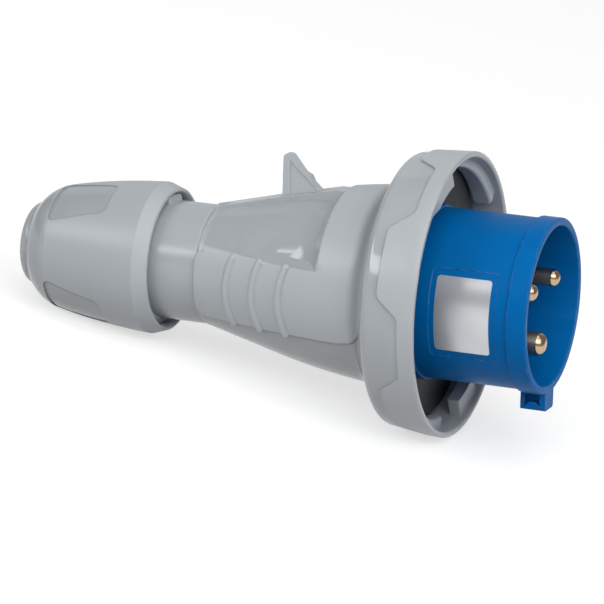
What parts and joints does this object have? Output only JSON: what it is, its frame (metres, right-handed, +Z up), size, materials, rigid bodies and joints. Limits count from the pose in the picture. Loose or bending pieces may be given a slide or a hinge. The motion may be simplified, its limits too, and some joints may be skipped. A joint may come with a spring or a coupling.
{
  "type": "industrial pin and sleeve plug",
  "caption": "Pin and sleeve plug with a round shroud over its contact pins, a keyed rim, a bayonet locking ring, a ribbed hollow handle with a hook, and a cable gland.",
  "frame": {"origin": "on the floor, under the middle of the plug's bounding box, as it lies at rest", "axes": "+X towards the pins along the floor, +Y to the side away from the rating label, +Z up; the plug's own axis is tipped nose up by 11.1 degrees"},
  "size_m": [0.189, 0.0936, 0.0933],
  "materials": {
    "handle_grey": "satin moulded plastic",
    "ring_grey": "satin moulded plastic",
    "shroud_blue": "satin moulded plastic",
    "gasket_black": "dull moulded rubber",
    "seal_black": "smooth moulded rubber",
    "label_silver": "silver film",
    "pin_brass": "turned",
    "screw_steel": "zinc plated",
    "holder_grey": "moulded plastic",
    "washer_white": "moulded plastic",
    "cage_grey": "moulded plastic",
    "nut_grey": "satin moulded plastic",
    "guide_grey": "soft moulded rubber"
  },
  "bodies": {
    "housing": {"handle_body": "handle_grey", "pin_carrier": "shroud_blue", "face_gasket": "gasket_black", "body_seal": "seal_black", "rating_label": "label_silver", "earth_pin": "pin_brass", "line_pin": "pin_brass", "neutral_pin": "pin_brass", "earth_terminal_screw": "screw_steel", "line_terminal_screw": "screw_steel", "neutral_terminal_screw": "screw_steel", "terminal_holder": "holder_grey", "holder_screw": "screw_steel", "carrier_screw_left": "screw_steel", "carrier_screw_right": "screw_steel", "cable_seal": "seal_black"},
    "ring": {"locking_ring": "ring_grey"},
    "gland": {"thrust_washer": "washer_white", "clamp_cage": "cage_grey"},
    "nut": {"gland_nut": "nut_grey", "cord_guide": "guide_grey"}
  },
  "joints": [
    {"name": "ring_turn", "type": "hinge", "parent": "housing", "child": "ring", "pos_m": [0.04376, 0, 0.04479], "axis": [0.9813, 0, 0.1927], "range_deg": [0, 50]},
    {"name": "gland_travel", "type": "slide", "parent": "housing", "child": "gland", "axis": [-0.9813, 0, -0.1927], "range_m": [0, 0.009]},
    {"name": "nut_turn", "type": "hinge", "parent": "gland", "child": "nut", "pos_m": [-0.06908, 0, 0.02263], "axis": [-0.9813, 0, -0.1927], "range_deg": [0, 1080]}
  ],
  "couplings": [
    {"joint": "gland_travel", "follows": "nut_turn", "m_per_rad": 0.00047746}
  ]
}
